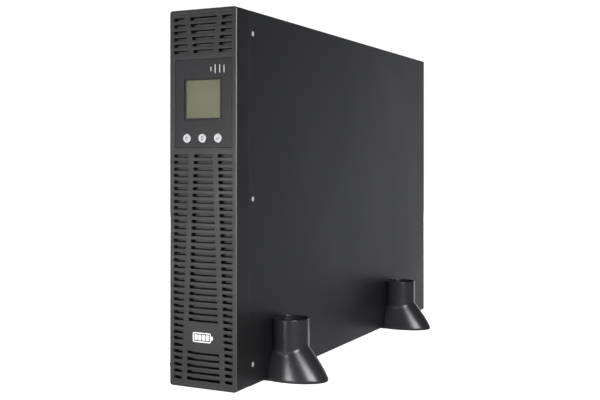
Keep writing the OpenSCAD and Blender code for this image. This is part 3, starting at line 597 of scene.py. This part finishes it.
def display_face():
    shell = Shell()
    holes = [lambda g: rounded(SCREEN_LOW.x - 0.1, SCREEN_HIGH.x + 0.1, SCREEN_LOW.z - 0.1,
                               SCREEN_HIGH.z + 0.1, 1.2, g, 4)]
    for name in BUTTONS:
        x, z = button_centre(name)
        holes.append(lambda g, x=x, z=z: disc(x, z, BUTTON_R + BUTTON_GAP, g * 1.6))
    for x, z0, z1 in LIGHTS:
        x0, x1 = x - LIGHT_W / 2, x + LIGHT_W / 2
        z0, z1 = z0 - 0.1, z1 + 0.1
        holes.append(lambda g, x0=x0, x1=x1, z0=z0, z1=z1: rounded(x0, x1, z0, z1, 0.2, g * 0.5, 3))
    shell.plate(lambda g: rounded(PANEL_LOW.x, PANEL_HIGH.x, PANEL_LOW.z, PANEL_HIGH.z, 1.0, g, 5),
                holes, PANEL_LOW.y, PANEL_HIGH.y, 0.3)
    shell.done("display_face", MATERIALS["panel_plastic"], "case", ["display_panel"])


def screen_parts():
    shell = Shell()
    shell.plate(lambda g: rounded(SCREEN_LOW.x, SCREEN_HIGH.x, SCREEN_LOW.z, SCREEN_HIGH.z, 1.0, g, 5), (),
                SCREEN_LOW.y, SCREEN_HIGH.y, 0.15)
    shell.done("screen_window", MATERIALS["clear_window"], "case", ["lcd_window"])
    mask = Shell()
    mask.plate(lambda g: rounded(SCREEN_LOW.x, SCREEN_HIGH.x, SCREEN_LOW.z, SCREEN_HIGH.z, 1.0, g, 5),
               [lambda g: rounded(SCREEN_LOW.x + SCREEN_RIM, SCREEN_HIGH.x - SCREEN_RIM,
                                  SCREEN_LOW.z + SCREEN_RIM, SCREEN_HIGH.z - SCREEN_RIM, 0.6, g, 3)],
               SCREEN_HIGH.y + 0.02, SCREEN_HIGH.y + 0.4, 0.03)
    mask.done("screen_mask", MATERIALS["component_black"], "case")


def screen_segments():
    """Faint unlit segments: a row of seven-segment digits over two level bars."""
    shell = Shell()
    y1 = PANEL_HIGH.y + GLASS_DEPTH - 0.02
    y0 = y1 - 0.06
    left, bottom = SCREEN_LOW.x + SCREEN_RIM, SCREEN_LOW.z + SCREEN_RIM

    def bar(x0, x1, z0, z1):
        shell.plate(lambda g: rounded(x0, x1, z0, z1, 0.25, g, 2), (), y0, y1, 0.01)

    for k in range(4):
        x, z, w, h, t = left + 5.0 + k * 9.4, bottom + 25.0, 5.8, 11.0, 0.9
        for level in (z, z + h / 2, z + h):
            bar(x + t, x + w - t, level - t / 2, level + t / 2)
        for side in (x, x + w):
            bar(side - t / 2, side + t / 2, z + t, z + h / 2 - t)
            bar(side - t / 2, side + t / 2, z + h / 2 + t, z + h - t)
    for z in (bottom + 6.0, bottom + 14.0):
        for k in range(5):
            bar(left + 8 + k * 6.4, left + 13 + k * 6.4, z, z + 3.6)
        bar(left + 4.0, left + 6.0, z + 0.8, z + 2.8)
    shell.done("screen_segments", SEGMENT_INK, "case")


TURN_STEPS = 64


def lathe(name, x, z, profile, material, body, replaced):
    """Turns a (radius, y) profile about the Y line through (x, z)."""
    shell = Shell()

    def circle(r, y):
        return [shell.bm.verts.new(world(x + r * math.cos(a), y, z + r * math.sin(a)))
                for a in (2 * math.pi * k / TURN_STEPS for k in range(TURN_STEPS))]

    rings = [circle(r, y) for r, y in profile]
    shell.tube(rings)
    shell.bm.faces.new(rings[0])
    shell.bm.faces.new(rings[-1])
    return shell.done(name, material, body, replaced, 30.0)


def button(name):
    low, high = case_box(name)
    x, z = button_centre(name)
    top, r, flange_r, stem_r = low.y, BUTTON_R, (high.x - low.x) / 2, 2.0
    profile = [(0.8, top + 0.16), (2.4, top + 0.1), (3.8, top + 0.02), (4.3, top + 0.04), (4.65, top + 0.15),
               (4.9, top + 0.42), (r, top + 0.9), (r, top + 2.8), (flange_r, top + 2.8),
               (flange_r, top + 4.0), (stem_r, top + 4.0), (stem_r, high.y)]
    lathe(name + "_cap", x, z, profile, MATERIALS["button_plastic"], name, [name])
    glyph = Shell()
    y0, y1 = top + 0.04, top + 0.3

    def mark(x0, x1, z0, z1, r=0.25):
        glyph.plate(lambda g: rounded(x + x0, x + x1, z + z0, z + z1, r, g, 3), (), y0, y1, 0.01)

    def arrow(sign):
        for k in range(4):
            half, level = 1.5 - 0.4 * k, sign * (0.9 + 0.45 * k)
            mark(-half, half, level - 0.23, level + 0.23, 0.1)

    if name == "left_button":
        glyph.plate(lambda g: disc(x, z - 0.2, 1.9, g, 6), [lambda g: disc(x, z - 0.2, 1.4, g, 6)],
                    y0, y1, 0.01)
        mark(-0.3, 0.3, 0.2, 2.6)
    elif name == "middle_button":
        arrow(1)
        arrow(-1)
    else:
        mark(-1.7, 1.7, -0.9, -0.35)
        mark(1.15, 1.7, -0.9, 1.4)
        for k in range(4):
            mark(-2.0 + 0.35 * k, -1.6 + 0.35 * k, -0.62 - 0.3 * k, -0.62 + 0.3 * k + 0.05, 0.05)
    glyph.done(name + "_print", GREY_INK, name)


# ---------- tower feet ----------

FOOT_PLANE = 44.3
COLLAR_X = 61.8
COLLAR_R = 22.4
COLLAR_TOP = 70.0
BORE_R = 19.4
SKIRT = {"x": 64.2, "a": 45.9, "b": 27.8, "side": 37.0, "face": 28.0, "flare": 1.2, "wall": 2.4}
BORE_PLANE = FOOT_PLANE + SKIRT["wall"]
CAVITY_PLANE = BORE_PLANE - 0.6
FLOOR_GAP = 3.0
ARC_STEPS = 72
FLAT_STEPS = 10
FILLET = 0.6


def skirt_radius(z, angle, inset):
    """Distance from the collar's axis to the skirt's outline along angle, at height z."""
    up = max(z, 0.0)
    a = SKIRT["a"] - (SKIRT["a"] - COLLAR_R) * (up / SKIRT["side"]) ** SKIRT["flare"] - inset
    b = SKIRT["b"] - (SKIRT["b"] - COLLAR_R) * (up / SKIRT["face"]) ** SKIRT["flare"] - inset
    a, b = max(a, 1.0), max(b, 1.0)
    u = up / SKIRT["side"]
    ox = SKIRT["x"] + (COLLAR_X - SKIRT["x"]) * u - COLLAR_X
    dx, dy = math.cos(angle), math.sin(angle)
    qa = (dx / a) ** 2 + (dy / b) ** 2
    qb = -2 * dx * ox / a ** 2
    qc = (ox / a) ** 2 - 1
    root = qb * qb - 4 * qa * qc
    return (-qb + math.sqrt(root)) / (2 * qa) if root > 0 else 0.0


def blended(skirt, collar):
    """The larger of two radii, with a small fillet where they cross."""
    h = max(FILLET - abs(skirt - collar), 0.0) / FILLET
    return max(skirt, collar) + h * h * FILLET / 4


def foot_ring(bm, centre_y, side, z, radius_at, plane):
    """One closed ring: an arc outside the plane, then a straight run along it."""
    reach = COLLAR_X - plane

    def past(angle):
        return radius_at(angle) * -math.cos(angle) > reach

    def corner(sign):
        low, high = math.pi / 2, math.pi
        if not past(sign * high):
            return sign * math.pi
        for _ in range(40):
            mid = (low + high) / 2
            low, high = (low, mid) if past(sign * mid) else (mid, high)
        return sign * high

    start, end = corner(-1), corner(1)
    points = []
    for k in range(ARC_STEPS + 1):
        angle = start + (end - start) * k / ARC_STEPS
        r = radius_at(angle)
        points.append((COLLAR_X + r * math.cos(angle), r * math.sin(angle)))
    last, first = points[-1], points[0]
    for k in range(1, FLAT_STEPS):
        t = k / FLAT_STEPS
        points.append((last[0] + (first[0] - last[0]) * t, last[1] + (first[1] - last[1]) * t))
    return [bm.verts.new(world(side * x, centre_y + y, z)) for x, y in points]


def tower_foot(node, side):
    low, high = case_box(node)
    centre_y = (low.y + high.y) / 2
    shell = Shell()
    wall = SKIRT["wall"]

    def outer(z, shrink=0.0):
        return lambda a: blended(skirt_radius(z, a, shrink), COLLAR_R - shrink)

    def inner(z):
        return lambda a: max(skirt_radius(z, a, wall), COLLAR_R + 0.2)

    rings = []
    for z, shrink in ((-FLOOR_GAP, 1.0), (-FLOOR_GAP + 0.3, 0.3), (-FLOOR_GAP + 1.0, 0.0)):
        rings.append(foot_ring(shell.bm, centre_y, side, z, outer(z, shrink), FOOT_PLANE))
    heights = [0.0, 1.5, 4.0, 7.0, 10.0, 13.0, 16.0, 19.0, 22.0, 24.0, 26.0, 27.5, 29.0, 30.5, 32.0, 33.5,
               35.0, 36.5, 38.0, 42.0, 50.0, 60.0, COLLAR_TOP - 0.8]
    for z in heights:
        rings.append(foot_ring(shell.bm, centre_y, side, z, outer(z), FOOT_PLANE))
    # Over the collar's lip and down its bore: each ring's height, radius and flat side.
    lip = ((COLLAR_TOP - 0.25, 0.25), (COLLAR_TOP, 0.8))
    turned = [(z, COLLAR_R - inset, FOOT_PLANE + inset) for z, inset in lip]
    bore = ((COLLAR_TOP, 0.6), (COLLAR_TOP - 0.2, 0.15), (COLLAR_TOP - 0.6, 0.0), (-FLOOR_GAP + 0.4, 0.0),
            (-FLOOR_GAP, 0.3))
    turned += [(z, BORE_R + flare, BORE_PLANE - flare) for z, flare in bore]
    turned += [(-FLOOR_GAP, COLLAR_R - 0.3, CAVITY_PLANE), (-FLOOR_GAP + 0.4, COLLAR_R, CAVITY_PLANE)]
    for z, r, plane in turned:
        rings.append(foot_ring(shell.bm, centre_y, side, z, lambda a, r=r: r, plane))
    for z in (33.0, 30.0, 26.0, 21.0, 15.0, 9.0, 3.0, 0.0):
        rings.append(foot_ring(shell.bm, centre_y, side, z, inner(z), CAVITY_PLANE))
    rings.append(foot_ring(shell.bm, centre_y, side, -FLOOR_GAP, inner(0.0), CAVITY_PLANE))
    rings.append(rings[0])
    shell.tube(rings)
    bmesh.ops.remove_doubles(shell.bm, verts=shell.bm.verts, dist=2e-6)
    tongue = sorted((side * 0.3, side * (FOOT_PLANE + wall - 0.2)))
    shell.plank(tongue, (centre_y - 25.5, centre_y + 25.5), (-FLOOR_GAP, 0.0), 0.4)
    shell.done(node + "_moulding", MATERIALS["foot_plastic"], "case", [node], 40.0)


# ---------- CAD nodes that stay ----------

SOFT_EDGES = {
    "chassis_tray": 0.5, "side_cover": 0.5, "rear_panel": 0.3, "inner_front_plate": 0.3, "battery_tray": 0.4,
    "battery_door": 0.4, "battery_handle": 0.7, "batteries": 1.2, "power_inlet": 0.5, "output_sockets": 0.4,
    "large_output_socket": 0.4, "slot_cover": 0.4, "fan_frames": 0.5, "network_ports": 0.3,
    "emergency_terminal": 0.4, "usb_port": 0.25, "serial_port": 0.3, "display_housing": 0.4,
    "battery_plug": 0.6, "battery_receptacle": 0.6, "upper_fan_rotor": 0.25, "lower_fan_rotor": 0.25,
    "breaker_button": 0.6, "breaker_body": 0.5, "door_screws": 0.15, "slot_screws": 0.5, "fan_screws": 0.4,
    "rear_panel_screws": 0.4, "cover_screws": 0.08, "ground_screw": 0.3, "status_light_pipes": 0.2,
    "dust_filters": 0.5, "battery_links": 0.2, "inlet_pins": 0.3, "heatsinks": 0.3, "transformer": 0.8,
    "relays": 0.6, "power_transistors": 0.5, "bus_capacitors": 1.0, "inductors": 2.0,
}


def finish_cad_nodes():
    """Gives every CAD node its material, and rounds the edges of those that show."""
    slot_of = {row["node"]: row["material_slot"] for row in frame["record"]["subparts"]}
    for name, node in frame["nodes"].items():
        node.data.materials.clear()
        node.data.materials.append(MATERIALS[slot_of[name]])
        if name not in SOFT_EDGES or node.hide_render:
            continue
        weld = node.modifiers.new("weld", "WELD")
        weld.merge_threshold = 1e-6
        planes = node.modifiers.new("planes", "DECIMATE")
        planes.decimate_type = "DISSOLVE"
        planes.angle_limit = math.radians(1.0)
        soft = node.modifiers.new("soft_edges", "BEVEL")
        soft.width = SOFT_EDGES[name] * MM
        soft.segments = 3
        soft.limit_method = "ANGLE"
        soft.angle_limit = math.radians(40)
        soft.harden_normals = False
        for face in node.data.polygons:
            face.use_smooth = True
        node.data.set_sharp_from_angle(angle=math.radians(50))
        flat_normals(node)


# ---------- camera, stage and light ----------

SENSOR = 36.0
LENS = 55.356
SHIFT_Y = -0.0661667
CAMERA_AT = (565.6, -892.8, 259.8)
YAW = 0.4595


def camera():
    data = bpy.data.cameras.new("camera")
    data.sensor_width = SENSOR
    data.lens = LENS
    data.shift_y = SHIFT_Y
    data.clip_start, data.clip_end = 0.05, 60.0
    view = bpy.data.objects.new("camera", data)
    view.location = world(*CAMERA_AT)
    view.rotation_euler = (math.radians(90), 0.0, YAW)
    bpy.context.scene.collection.objects.link(view)
    bpy.context.scene.camera = view


def area_light(name, place, target, size, power):
    data = bpy.data.lights.new(name, "AREA")
    data.shape = "RECTANGLE"
    data.size, data.size_y = size
    data.energy = power
    lamp = bpy.data.objects.new(name, data)
    lamp.location = place
    lamp.rotation_euler = (Vector(target) - Vector(place)).to_track_quat("-Z", "Y").to_euler()
    bpy.context.scene.collection.objects.link(lamp)


# Each lamp's name, place, target, width and height in metres, and power in watts.
LAMPS = (
    ("key_front_left", (-0.42, -1.85, 0.12), (0.0, -0.3, 0.12), (0.6, 0.3), 14.0),
    ("overhead", (0.5, -0.5, 2.4), (0.0, -0.1, 0.2), (1.0, 1.6), 8.0),
    ("box_rear_left", (-1.7, 2.5, 1.2), (0.0, 0.2, 0.2), (1.4, 1.4), 60.0),
    ("box_left", (-2.4, 0.9, 0.9), (0.0, 0.1, 0.2), (1.6, 1.2), 50.0),
    ("box_front_right", (2.0, -1.95, 1.05), (0.05, -0.3, 0.25), (1.3, 1.3), 75.0),
)

# What reflections see: a bright screen behind the object, a paler floor, and a dark room elsewhere.
# SCREEN_EDGE and SCREEN_CORE are cosines from the screen's middle, and FLOOR_SIDE is downward slopes.
SCREEN_SIDE = (-0.03, 1.0, -0.08)
SCREEN_EDGE = 0.88
SCREEN_CORE = 1.0
FLOOR_SIDE = (-0.05, -0.45)
ROOM = 0.055
SCREEN = 1.5
STUDIO_TINT = (0.98, 0.99, 1.035, 1.0)
WHITE = (1.0, 1.0, 1.0, 1.0)
BACKDROP = 1.05
FLOOR_HALF = 14.0
FLOOR_DROP = 0.0004
# The floor's own glow grows between these distances from the object, in metres, up to FLOOR_FAR_GLOW, so the
# floor is painted a little darker near the object as painted shade.
GLOW_REACH = (0.5, 1.6)
FLOOR_FAR_GLOW = 1.1
FLOOR_GLOW = 1.0
FLOOR_SHEEN = 0.35


def stage():
    """White paper that runs out to pure white away from the object, and a studio that is dark to
    reflections apart from its screen and soft boxes."""
    n = Nodes("floor_paper")
    tone = n.noise(3.0, 3.0)
    n.link(n.mix(tone, (0.78, 0.78, 0.78), (0.82, 0.82, 0.82)), n.shader.inputs["Base Color"])
    n.shader.inputs["Roughness"].default_value = 0.9
    n.shader.inputs["Specular IOR Level"].default_value = 0.1
    reach = n.add("ShaderNodeVectorMath", operation="LENGTH")
    n.link(n.place, reach.inputs[0])
    # Painted shade: the floor glows less near the object.
    glow = n.remap(reach.outputs["Value"], *GLOW_REACH, FLOOR_GLOW, FLOOR_FAR_GLOW)
    n.link(glow, n.shader.inputs["Emission Strength"])
    n.shader.inputs["Emission Color"].default_value = WHITE
    mesh = bpy.data.meshes.new("floor")
    r = FLOOR_HALF
    mesh.from_pydata([(-r, -r, 0), (r, -r, 0), (r, r, 0), (-r, r, 0)], [], [(0, 1, 2, 3)])
    mesh.materials.append(n.material)
    floor = bpy.data.objects.new("floor", mesh)
    floor.location.z = -FLOOR_DROP
    floor.visible_glossy = False
    bpy.context.scene.collection.objects.link(floor)

    sky = bpy.data.worlds.new("studio")
    bpy.context.scene.world = sky
    sky.use_nodes = True
    tree = sky.node_tree
    backdrop = tree.nodes["Background"]
    backdrop.inputs["Color"].default_value = WHITE
    backdrop.inputs["Strength"].default_value = BACKDROP
    dim = tree.nodes.new("ShaderNodeBackground")
    dim.inputs["Color"].default_value = STUDIO_TINT
    toward = tree.nodes.new("ShaderNodeTexCoord")
    facing = tree.nodes.new("ShaderNodeVectorMath")
    facing.operation = "DOT_PRODUCT"
    facing.inputs[1].default_value = Vector(SCREEN_SIDE).normalized()
    tree.links.new(toward.outputs["Generated"], facing.inputs[0])
    spread = tree.nodes.new("ShaderNodeMapRange")
    spread.interpolation_type = "SMOOTHSTEP"
    tree.links.new(facing.outputs["Value"], spread.inputs["Value"])
    set_range(spread, SCREEN_EDGE, SCREEN_CORE, ROOM, SCREEN)
    split = tree.nodes.new("ShaderNodeSeparateXYZ")
    tree.links.new(toward.outputs["Generated"], split.inputs["Vector"])
    down = tree.nodes.new("ShaderNodeMapRange")
    down.interpolation_type = "SMOOTHSTEP"
    tree.links.new(split.outputs["Z"], down.inputs["Value"])
    set_range(down, *FLOOR_SIDE, 0.0, FLOOR_SHEEN)
    total = tree.nodes.new("ShaderNodeMath")
    tree.links.new(spread.outputs["Result"], total.inputs[0])
    tree.links.new(down.outputs["Result"], total.inputs[1])
    tree.links.new(total.outputs["Value"], dim.inputs["Strength"])
    ray = tree.nodes.new("ShaderNodeLightPath")
    blend = tree.nodes.new("ShaderNodeMixShader")
    tree.links.new(ray.outputs["Is Camera Ray"], blend.inputs["Fac"])
    tree.links.new(dim.outputs["Background"], blend.inputs[1])
    tree.links.new(backdrop.outputs["Background"], blend.inputs[2])
    tree.links.new(blend.outputs["Shader"], tree.nodes["World Output"].inputs["Surface"])

    for lamp in LAMPS:
        area_light(*lamp)
    bpy.context.scene.view_settings.view_transform = "Standard"


camera()
front_bezel()
generic_mark()
display_face()
screen_parts()
screen_segments()
for button_name in BUTTONS:
    button(button_name)
for end in ("front", "rear"):
    tower_foot(end + "_right_foot", 1)
    tower_foot(end + "_left_foot", -1)
finish_cad_nodes()
stage()
